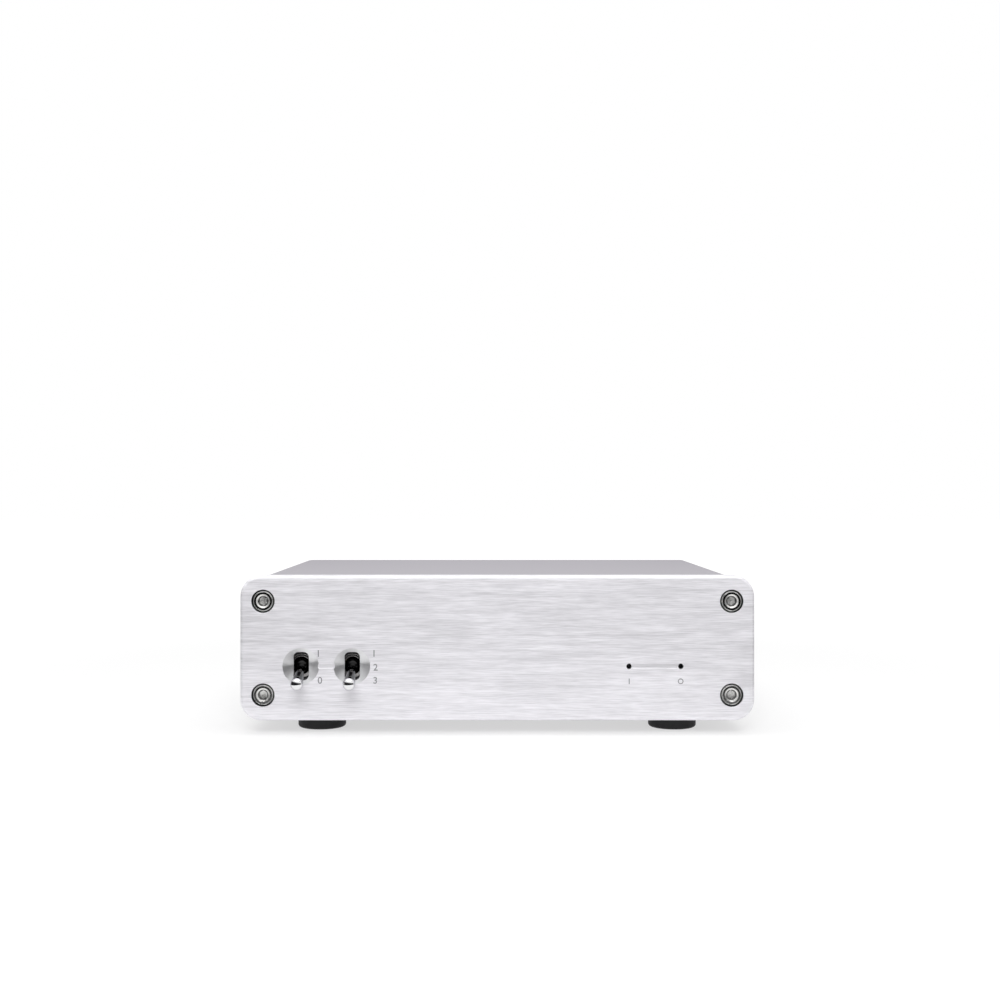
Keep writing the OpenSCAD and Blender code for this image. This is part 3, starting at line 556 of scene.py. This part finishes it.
def makePlateBody():
    p = plate
    width, height = plateHigh.x - plateLow.x, plateHigh.z - plateLow.z
    loops, steps = [], 8
    for i in range(steps + 1):
        turn = math.pi / 2 * i / steps
        inset = p["edge"] * (1 - math.sin(turn))
        loops.append((plateLow.y + p["edge"] * (1 - math.cos(turn)), inset))
    loops += [(plateHigh.y - p["backEdge"], 0), (plateHigh.y, p["backEdge"])]
    points, faces = [], []
    for y, inset in loops:
        outline = roundRectangle(width - 2 * inset, height - 2 * inset, p["corner"] - inset, 14)
        points += [(x, y, z + midZ) for x, z in outline]
    count = len(outline)
    for ring in range(len(loops) - 1):
        for i in range(count):
            k = (i + 1) % count
            here, beyond = ring * count, (ring + 1) * count
            faces.append([here + i, here + k, beyond + k, beyond + i])
    faces += [list(range(count)), list(range(len(points) - 1, len(points) - count - 1, -1))]
    return addPiece("frontPlate", reworked(meshFrom("frontPlate", points, faces)))


def linkCutter(xLow, xHigh):  # fine line between two features, steep above and sloped below, run out in them
    half, front, deep = plate["link"] / 2, plateLow.y, plate["linkDepth"]
    lean = deep * 0.3
    section = [(front - deep, -half - deep), (front + deep, -half + deep), (front + deep, half - lean),
               (front - deep, half + lean)]
    points = [(x, y, z + axisZ) for x in (xLow, xHigh) for y, z in section]
    faces = [[0, 1, 2, 3], [7, 6, 5, 4]] + [[i, (i + 1) % 4, (i + 1) % 4 + 4, i + 4] for i in range(4)]
    return reworked(meshFrom("link", points, faces))


def makeFrontPlate():
    p = plate
    front, back, skin = plateLow.y, plateHigh.y, 0.5 * mm
    piece = makePlateBody()
    screwLow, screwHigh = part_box("front_screws")
    head = capScrew["head"]
    ports = [(x, z) for x in (screwLow.x + head, screwHigh.x - head)
             for z in (screwLow.z + head, screwHigh.z - head)]
    m = p["mouth"]
    boreProfile = [(0, front - skin), (p["bore"] + m + skin, front - skin), (p["bore"], front + m),
                   (p["bore"], front + p["brightWall"]), (p["bore"], front + p["boreDepth"]),
                   (p["shank"], front + p["boreDepth"]), (p["shank"], back + skin), (0, back + skin)]
    slope = (p["dish"] - p["slot"][0] / 2) / p["dishDepth"]
    dishProfile = [(0, front - skin), (p["dish"] + slope * skin, front - skin),
                   (p["slot"][0] / 2, front + p["dishDepth"]), (0, front + p["dishDepth"])]
    pocketProfile = [(0, front + p["web"]), (p["pocket"], front + p["web"]), (p["pocket"], back + skin),
                     (0, back + skin)]
    lightProfile = [(0, front - skin), (p["lightHole"] + m + skin, front - skin), (p["lightHole"], front + m),
                    (p["lightHole"], front + p["lightSkin"]), (p["lightPocket"], front + p["lightSkin"]),
                    (p["lightPocket"], back + skin), (0, back + skin)]
    for x, z in ports:
        carve(piece, lathe("bore", boreProfile, 72, at(x, z)))
    for spot in leverPivots:
        place = at(spot.x, spot.z)
        carve(piece, lathe("pocket", pocketProfile, 72, place), lathe("dish", dishProfile, 96, place),
              prism("slot", roundRectangle(*p["slot"], 8), front - skin, front + p["web"] + skin, place))
    for spot in lightSpots:
        carve(piece, lathe("light", lightProfile, 40, at(spot.x, spot.z)))
    reach = p["dish"] - p["runOut"]
    carve(piece, linkCutter(leverPivots[0].x + reach, leverPivots[1].x - reach),
          linkCutter(lightSpots[0].x, lightSpots[1].x))
    # slots 2 and 3 carry painted shade: the walls inside holes and the fine line's floor
    coat(piece, "front_plate", "turned_aluminium", "hole_wall_painted_shade", "line_floor_painted_shade")
    finish = [cutFinish(face, ports) for face in piece.data.polygons]
    piece.data.polygons.foreach_set("material_index", finish)
    return attach(smooth(piece, 20), "front_panel")


def cutFinish(face, ports):  # 0 brushed face, 1 turned dish, 2 inside a hole, darkened as painted shade, 3 floor of the fine line, darkened as painted shade
    spot, slack = face.center, 0.05 * mm
    if abs(spot.y - plateLow.y - plate["linkDepth"]) < hair and abs(spot.z - axisZ) < plate["link"] / 2:
        return 3
    deep = plateLow.y + hair < spot.y < plateHigh.y - hair
    for x, z in ports:
        if deep and math.hypot(spot.x - x, spot.z - z) < plate["bore"] + slack:
            # the upper wall keeps the bright turned finish, the deeper wall takes the painted shade
            return 1 if spot.y < plateLow.y + plate["brightWall"] else 2
    for lamp in lightSpots:
        if deep and math.hypot(spot.x - lamp.x, spot.z - lamp.z) < plate["lightPocket"] + slack:
            return 2
    floor = plateLow.y + plate["web"] - hair
    for pivot in leverPivots:
        away = math.hypot(spot.x - pivot.x, spot.z - pivot.z)
        if deep and away < plate["dish"] + slack and spot.y < floor:
            return 1 if face.normal.y < -0.5 else 2
        if away < plate["dish"] and floor < spot.y < plateHigh.y - hair:
            return 2
    return 0


frontPlate = makeFrontPlate()
print("front plate cut:", len(frontPlate.data.polygons), "faces")


# numerals and marks printed on the front plate

marks = dict(rearDrop=8 * mm, rearShift=0.5 * mm, tall=1.9 * mm, thick=0.02 * mm, weight=0.012,
             capShare=0.7, power=[("1", 3.75), ("0", -4.0)], source=[("1", 3.75), ("2", -0.25), ("3", -4.0)],
             besidePower=4.9 * mm, besideSource=6.2 * mm, lampDrop=4.3 * mm, bar=(0.24 * mm, 1.6 * mm),
             ringOuter=0.8 * mm, ringInner=0.56 * mm)


def printText(text, spot, facing=-1):  # left edge and middle height at spot, read from the front or the back
    tall = marks["tall"]
    curve = bpy.data.curves.new("mark", "FONT")
    curve.body = text
    curve.size = tall / marks["capShare"]
    curve.extrude = marks["thick"]
    curve.offset = marks["weight"] * tall
    curve.resolution_u = 6
    writer = addPiece("mark", curve)
    bpy.context.view_layer.update()
    mesh = bpy.data.meshes.new_from_object(writer.evaluated_get(bpy.context.evaluated_depsgraph_get()))
    bpy.data.objects.remove(writer)
    low = min(v.co.x for v in mesh.vertices)
    mesh.transform(Matrix.Translation((-low, -tall / 2, 0)))
    mesh.transform(Matrix.Rotation(math.pi / 2, 4, "X"))
    if facing > 0:
        mesh.transform(Matrix.Rotation(math.pi, 4, "Z"))
    mesh.transform(Matrix.Translation(spot))
    return mesh


def printOn(node, name, meshes, finish):
    piece = coat(addPiece(name, joined(name, meshes)), finish)
    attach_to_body(piece, bodyOf[node])
    return smooth(piece, 30)


def makeFrontMarks():
    y, thick = plateLow.y, marks["thick"]
    meshes = []
    for pivot, beside, labels in [(leverPivots[0], marks["besidePower"], marks["power"]),
                                  (leverPivots[1], marks["besideSource"], marks["source"])]:
        for text, rise in labels:
            meshes.append(printText(text, Vector((pivot.x + beside, y, axisZ + rise * mm))))
    lowZ = axisZ - marks["lampDrop"]
    a, b = marks["bar"][0] / 2, marks["bar"][1] / 2
    bar = [(-a, -b), (a, -b), (a, b), (-a, b)]
    meshes.append(prism("bar", bar, y - thick, y + thick, at(lightSpots[0].x, lowZ)))
    outer, inner = marks["ringOuter"], marks["ringInner"]
    ring = [(outer, y - thick), (outer, y + thick), (inner, y + thick), (inner, y - thick)]
    meshes.append(lathe("ring", ring, 40, at(lightSpots[1].x, lowZ)))
    return printOn("front_panel", "frontMarks", meshes, "grey_print")


def makeRearMarks():  # each input socket bears its place on the selector
    meshes = []
    for text, node in (("1", "optical_housing"), ("2", "coax_jack_block"), ("3", "usb_shell")):
        spot = Vector((middle(node).x + marks["rearShift"], rearHigh.y, rearHigh.z - marks["rearDrop"]))
        meshes.append(printText(text, spot, 1))
    return printOn("rear_panel", "rearMarks", meshes, "white_print")


makeFrontMarks()
makeRearMarks()
print("marks printed")


# lever switches

lever = dict(ball=2.3 * mm, root=1.0 * mm, grip=1.68 * mm, tip=1.8 * mm, reach=11.94 * mm,
             tail=0.7 * mm, tailLength=8.2 * mm, tailEnd=0.2 * mm, pin=0.5 * mm, pinHalf=3.3 * mm,
             tipTurn=97, tipInset=0.25 * mm)
bushing = dict(outer=3.5 * mm, bore=2.55 * mm, bead=0.3 * mm, lip=0.12 * mm, pitch=0.6 * mm, thread=0.25 * mm,
               start=1.0 * mm)


def makeLever(side, pivot):
    c = lever
    tilt = math.radians(jointOf[side + "_lever_tilt"]["range_deg"][1]) / 2
    place = Matrix.Translation(pivot) @ Matrix.Rotation(tilt, 4, "X")
    tip = [(c["tip"] * math.sin(turn), -c["reach"] - c["tip"] * math.cos(turn))
           for turn in [math.radians(c["tipTurn"]) * i / 18 for i in range(1, 19)]]
    stem = []
    for i in range(1, 15):
        share = i / 14
        ease = share * share * (3 - 2 * share)
        stem.append((c["grip"] + (c["root"] - c["grip"]) * (0.6 * share + 0.4 * ease),
                     -c["reach"] + (c["reach"] - c["ball"]) * share * 1.01 + c["tipInset"] * (1 - share)))
    bat = [(0, -c["reach"] - c["tip"])] + tip + stem
    first, last = math.asin(c["root"] / c["ball"]), math.pi - math.asin(c["tail"] / c["ball"])
    ball = [(c["ball"] * math.sin(turn), -c["ball"] * math.cos(turn))
            for turn in [first + (last - first) * i / 24 for i in range(1, 25)]]
    tail = [(c["tail"], c["tailLength"] - c["tailEnd"]), (c["tail"] - c["tailEnd"], c["tailLength"]),
            (0, c["tailLength"])]
    body = lathe("bat", bat + ball + tail, 56, place)
    pinProfile = [(0, -c["pinHalf"]), (c["pin"], -c["pinHalf"]), (c["pin"], c["pinHalf"]), (0, c["pinHalf"])]
    pin = lathe("pin", pinProfile, 24, Matrix.Translation(pivot) @ Matrix.Rotation(math.pi / 2, 4, "Z"))
    piece = addPiece(side + "Lever", joined(side + "Lever", [body, pin]))
    coat(piece, "lever_chrome", "pivot_ball_painted_dark_reflection")
    # faces round the pivot take the near-black finish, a painted dark reflection
    for face in piece.data.polygons:
        face.material_index = 1 if (face.center - pivot).length < c["ball"] * 1.03 else 0
    return attach(smooth(piece, 40), side + "_switch_lever")


def makeBushing(side, pivot):
    c = bushing
    low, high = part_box(side + "_switch_bushing")
    front, back, dip = low.y, high.y, low.y + c["lip"] * 1.5
    inner, outer = c["bore"] + c["bead"], c["outer"] - c["bead"]
    profile = rounded([(c["bore"], back, 0), (c["bore"], front, c["lip"]), (inner, front, c["lip"]),
                       (inner, dip, 0), (outer, dip, 0), (outer, front, c["lip"]),
                       (c["outer"], front, c["lip"]), (c["outer"], front + c["start"], 0)])
    turns = int((back - front - c["start"]) / c["pitch"]) - 1
    for i in range(turns):
        y = front + c["start"] + i * c["pitch"]
        profile += [(c["outer"] - c["thread"], y + c["pitch"] / 2), (c["outer"], y + c["pitch"])]
    profile.append((c["outer"], back))
    piece = turned(side + "Bushing", "switch_nickel", profile, 72, at(pivot.x, pivot.z))
    return attach(smooth(piece, 25), side + "_switch_bushing")


for side, pivot in zip(("power", "input"), leverPivots):
    makeLever(side, pivot)
    makeBushing(side, pivot)
print("levers and bushings made")


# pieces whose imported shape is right: the same shape with its edges broken

def refine(node, name, width):
    mesh = frame["nodes"][node].data.copy()
    mesh.name = name

    def clean(build):
        bmesh.ops.remove_doubles(build, verts=build.verts, dist=0.002 * mm)
        bmesh.ops.dissolve_limit(build, angle_limit=math.radians(1), verts=build.verts, edges=build.edges)

    piece = coat(addPiece(name, reworked(mesh, clean)), slotOf[node])
    soften(piece, width)
    smooth(piece, 50)
    piece.modifiers.new("broad faces lead", "WEIGHTED_NORMAL").keep_sharp = True
    return attach(settle(piece), node)


broken = {"case_tube": ("caseTube", 0.12), "rear_panel": ("rearPlate", 0.15),
          "right_jack_block": ("rightJackBlock", 0.2), "left_jack_block": ("leftJackBlock", 0.2),
          "coax_jack_block": ("coaxJackBlock", 0.2), "optical_housing": ("opticalHousing", 0.2),
          "optical_shutter": ("opticalShutter", 0.12), "usb_shell": ("usbShell", 0.1),
          "usb_insert": ("usbInsert", 0.12), "usb_contacts": ("usbContacts", 0.04),
          "dc_housing": ("powerHousing", 0.2), "dc_spring_contact": ("powerSpring", 0.05)}
for node, (name, width) in broken.items():
    refine(node, name, width * mm)
print("sockets and case refined")


# phono sockets

jack = dict(lip=0.18 * mm, groove=0.22 * mm, band=2.2 * mm, slitWide=0.35 * mm, slitLong=3.2 * mm,
            wall=0.55 * mm, pinWall=0.45 * mm, rootStep=0.2 * mm)


def makeBarrel(side):
    low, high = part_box(side + "_jack_barrel")
    spot, radius, wall = middle(side + "_jack_barrel"), (high.x - low.x) / 2, jack["wall"]
    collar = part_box(side + "_jack_block")[1].y
    root, groove, lip = radius - jack["rootStep"], jack["groove"], jack["lip"]
    band = collar + jack["band"]
    outline = [(0, low.y), (root, low.y), (root, collar), (radius - 0.05 * mm, collar),
               (radius, collar + 0.1 * mm), (radius, band), (radius - groove, band + groove),
               (radius - groove, band + 2 * groove), (radius, band + 3 * groove),
               (radius, high.y - lip), (radius - lip * 0.4, high.y - lip * 0.3),
               (radius - lip, high.y), (radius - wall + 0.1 * mm, high.y),
               (radius - wall, high.y - 0.12 * mm), (radius - wall, low.y + wall), (0, low.y + wall)]
    piece = turned(side + "Barrel", "gold_plate", outline, 80, at(spot.x, spot.z))
    return attach(smooth(piece, 30), side + "_jack_barrel")


def makeCore(side):
    low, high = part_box(side + "_jack_core")
    pinLow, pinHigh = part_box(side + "_jack_pin_socket")
    spot, radius = middle(side + "_jack_core"), (high.x - low.x) / 2
    hole = (pinHigh.x - pinLow.x) / 2 + 0.05 * mm
    outline = [(0, low.y), (radius, low.y), (radius, high.y - 0.25 * mm), (radius - 0.25 * mm, high.y),
               (hole + 0.7 * mm, high.y), (hole + 0.5 * mm, high.y - 0.3 * mm), (hole, high.y - 0.35 * mm),
               (hole, pinLow.y), (0, pinLow.y)]
    piece = turned(side + "Core", slotOf[side + "_jack_core"], outline, 72, at(spot.x, spot.z))
    return attach(smooth(piece, 30), side + "_jack_core")


def makePinSocket(side):
    low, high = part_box(side + "_jack_pin_socket")
    spot, radius = middle(side + "_jack_pin_socket"), (high.x - low.x) / 2
    wall = jack["pinWall"]
    outline = [(0, low.y), (radius, low.y), (radius, high.y - 0.1 * mm), (radius - 0.1 * mm, high.y),
               (radius - wall + 0.12 * mm, high.y), (radius - wall, high.y - 0.15 * mm),
               (radius - wall, low.y + wall), (0, low.y + wall)]
    piece = addPiece(side + "PinSocket", lathe(side + "PinSocket", outline, 64, at(spot.x, spot.z)))
    half = jack["slitWide"] / 2
    slit = [(-half, -2 * radius), (half, -2 * radius), (half, 2 * radius), (-half, 2 * radius)]
    cross = [(z, x) for x, z in slit]
    for shape in (slit, cross):
        carve(piece, prism("slit", shape, high.y - jack["slitLong"], high.y + mm, at(spot.x, spot.z)))
    return attach(smooth(coat(piece, "gold_plate"), 30), side + "_jack_pin_socket")


for side in ("right", "left", "coax"):
    makeBarrel(side)
    makeCore(side)
    makePinSocket(side)
print("phono sockets made")


# feet

foot = dict(taper=0.06 * mm, edge=0.85 * mm, step=0.5 * mm, hollow=3.6 * mm, hollowLip=0.3 * mm, dip=0.5 * mm,
            ring=5.2 * mm, ringHalf=0.15 * mm, ringDeep=0.12 * mm, stepInset=0.08 * mm, corner=0.1 * mm)


def makeFoot(node, name):
    low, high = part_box(node)
    radius, tall = (high.x - low.x) / 2, high.z - low.z
    c = foot
    base = radius - c["taper"]
    bevel = [(base - c["edge"] * (1 - math.cos(turn)), c["edge"] * (1 - math.sin(turn)))
             for turn in [math.pi / 2 * (1 - i / 8) for i in range(9)]]
    profile = [(0, c["dip"]), (c["hollow"] - c["hollowLip"], c["dip"]), (c["hollow"], c["dip"] * 0.4),
               (c["hollow"] + c["hollowLip"], 0), (c["ring"] - c["ringHalf"], 0), (c["ring"], c["ringDeep"]),
               (c["ring"] + c["ringHalf"], 0)] + bevel
    profile += [(radius - c["stepInset"], tall - c["step"]), (radius, tall - c["step"] + c["corner"]),
                (radius, tall - c["corner"]), (radius - c["corner"], tall), (0, tall)]
    spot = middle(node)
    place = Matrix.Translation((spot.x, spot.y, low.z)) @ Matrix.Rotation(math.pi / 2, 4, "X")
    piece = turned(name, "foot_rubber", profile, 88, place)
    return attach(smooth(piece, 30), node)


for node, name in [("foot_front_left", "footFrontLeft"), ("foot_front_right", "footFrontRight"),
                   ("foot_rear_left", "footRearLeft"), ("foot_rear_right", "footRearRight")]:
    makeFoot(node, name)
print("feet moulded")


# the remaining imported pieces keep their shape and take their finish

for node, part in frame["nodes"].items():
    if not part.hide_render:
        part.data.materials.clear()
        part.data.materials.append(materials[slotOf[node]])
print("inner pieces finished")


# floor, dark surround, lamps, world and camera

studio = dict(floorWide=6, floorGlow=0.55, floorPeak=1.08, glowNear=0.16, glowFar=0.4, surround=0.14,
              surroundLow=0.5 * mm, surroundFull=0.044,
              surroundTop=0.074, topPower=4.3, topHigh=0.9, fillPower=5.8, ambient=0.42)
view = dict(sensor=36, lens=48.15, shift=(0.0079, -0.0064), side=-0.0015, away=0.3844, high=0.0695)


def emptyTree(owner):
    owner.use_nodes = True
    owner.node_tree.nodes.clear()
    return owner.node_tree


def seenRays(tree):  # 1 where the camera looks, also in a reflection or through a piece, else 0
    rays = put(tree, "ShaderNodeLightPath").outputs
    seen = put(tree, "ShaderNodeMath", {0: rays["Is Camera Ray"], 1: rays["Is Glossy Ray"]},
               operation="MAXIMUM")
    seenToo = put(tree, "ShaderNodeMath", {0: seen.outputs[0], 1: rays["Is Transmission Ray"]},
                  operation="MAXIMUM")
    return seenToo.outputs[0]


def makeFloor():
    half = studio["floorWide"] / 2
    corners = [(-half, -half, 0), (half, -half, 0), (half, half, 0), (-half, half, 0)]
    floor = addPiece("floor", meshFrom("floor", corners, [[0, 1, 2, 3]]))
    material = bpy.data.materials.new("paleFloor")
    tree = emptyTree(material)
    seen = seenRays(tree)
    away = put(tree, "ShaderNodeVectorMath", {0: put(tree, "ShaderNodeTexCoord").outputs["Object"]},
               operation="LENGTH")
    level = put(tree, "ShaderNodeMapRange", {"Value": away.outputs["Value"], "From Min": studio["glowNear"],
                                             "From Max": studio["glowFar"], "To Min": studio["floorGlow"]},
                interpolation_type="SMOOTHSTEP")
    share = put(tree, "ShaderNodeMath", {0: seen, 1: level.outputs[0]}, operation="MULTIPLY")
    matte = put(tree, "ShaderNodeBsdfDiffuse", {"Color": (0.93, 0.93, 0.93, 1)})
    glow = put(tree, "ShaderNodeEmission", {"Color": (1, 1, 1, 1), "Strength": studio["floorPeak"]})
    mix = put(tree, "ShaderNodeMixShader", {0: share.outputs[0], 1: matte.outputs[0], 2: glow.outputs[0]})
    put(tree, "ShaderNodeOutputMaterial", {0: mix.outputs[0]})
    floor.data.materials.append(material)


def makeSurround():  # a dark ring that only reflections see, standing round the piece
    radius, top, sides = studio["surround"], studio["surroundTop"], 64
    turns = [2 * math.pi * i / sides for i in range(sides)]
    points = [(radius * math.cos(turn), radius * math.sin(turn), z)
              for z in (studio["surroundLow"], top) for turn in turns]
    faces = [[i, (i + 1) % sides, (i + 1) % sides + sides, i + sides] for i in range(sides)]
    ring = addPiece("surround", meshFrom("surround", points, faces))
    material = bpy.data.materials.new("darkRing")
    tree = emptyTree(material)
    height = put(tree, "ShaderNodeSeparateXYZ", {0: put(tree, "ShaderNodeTexCoord").outputs["Object"]})
    fade = put(tree, "ShaderNodeMapRange", {"Value": height.outputs["Z"], "From Min": studio["surroundFull"],
                                            "From Max": top}, interpolation_type="SMOOTHSTEP")
    dark = put(tree, "ShaderNodeEmission", {"Color": (0.02, 0.02, 0.022, 1), "Strength": 1})
    clear = put(tree, "ShaderNodeBsdfTransparent")
    mix = put(tree, "ShaderNodeMixShader", {0: fade.outputs[0], 1: dark.outputs[0], 2: clear.outputs[0]})
    put(tree, "ShaderNodeOutputMaterial", {0: mix.outputs[0]})
    ring.data.materials.append(material)
    ring.visible_camera = False
    ring.visible_diffuse = False
    ring.visible_transmission = False
    ring.visible_shadow = False


def makeLamp(name, power, place, target, size, glossy=True):
    lamp = bpy.data.lights.new(name, "AREA")
    lamp.shape = "RECTANGLE"
    lamp.size, lamp.size_y = size
    lamp.energy = power
    holder = addPiece(name, lamp)
    holder.location = place
    holder.rotation_euler = (Vector(target) - Vector(place)).to_track_quat("-Z", "Y").to_euler()
    holder.visible_glossy = glossy


def makeWorld():
    world = bpy.data.worlds.new("paleRoom")
    bpy.context.scene.world = world
    tree = emptyTree(world)
    seen = seenRays(tree)
    ambient = put(tree, "ShaderNodeBackground", {"Color": (1, 1, 1, 1), "Strength": studio["ambient"]})
    backdrop = put(tree, "ShaderNodeBackground", {"Color": (1, 1, 1, 1), "Strength": 1})
    mix = put(tree, "ShaderNodeMixShader", {0: seen, 1: ambient.outputs[0], 2: backdrop.outputs[0]})
    put(tree, "ShaderNodeOutputWorld", {0: mix.outputs[0]})


def makeCamera():
    lens = bpy.data.cameras.new("camera")
    lens.sensor_width = view["sensor"]
    lens.lens = view["lens"]
    lens.shift_x, lens.shift_y = view["shift"]
    holder = addPiece("camera", lens)
    holder.location = (view["side"], plateLow.y - view["away"], view["high"])
    holder.rotation_euler = (math.pi / 2, 0, 0)
    bpy.context.scene.camera = holder


makeFloor()
makeSurround()
makeLamp("overheadSoftbox", studio["topPower"], (0, -0.1, studio["topHigh"]), (0, 0, 0), (1.0, 0.8))
makeLamp("frontFill", studio["fillPower"], (0, -1.0, 0.66), (0, 0, 0.02), (0.5, 0.35), glossy=False)
makeWorld()
makeCamera()
bpy.context.scene.view_settings.view_transform = "Standard"
print("studio ready")
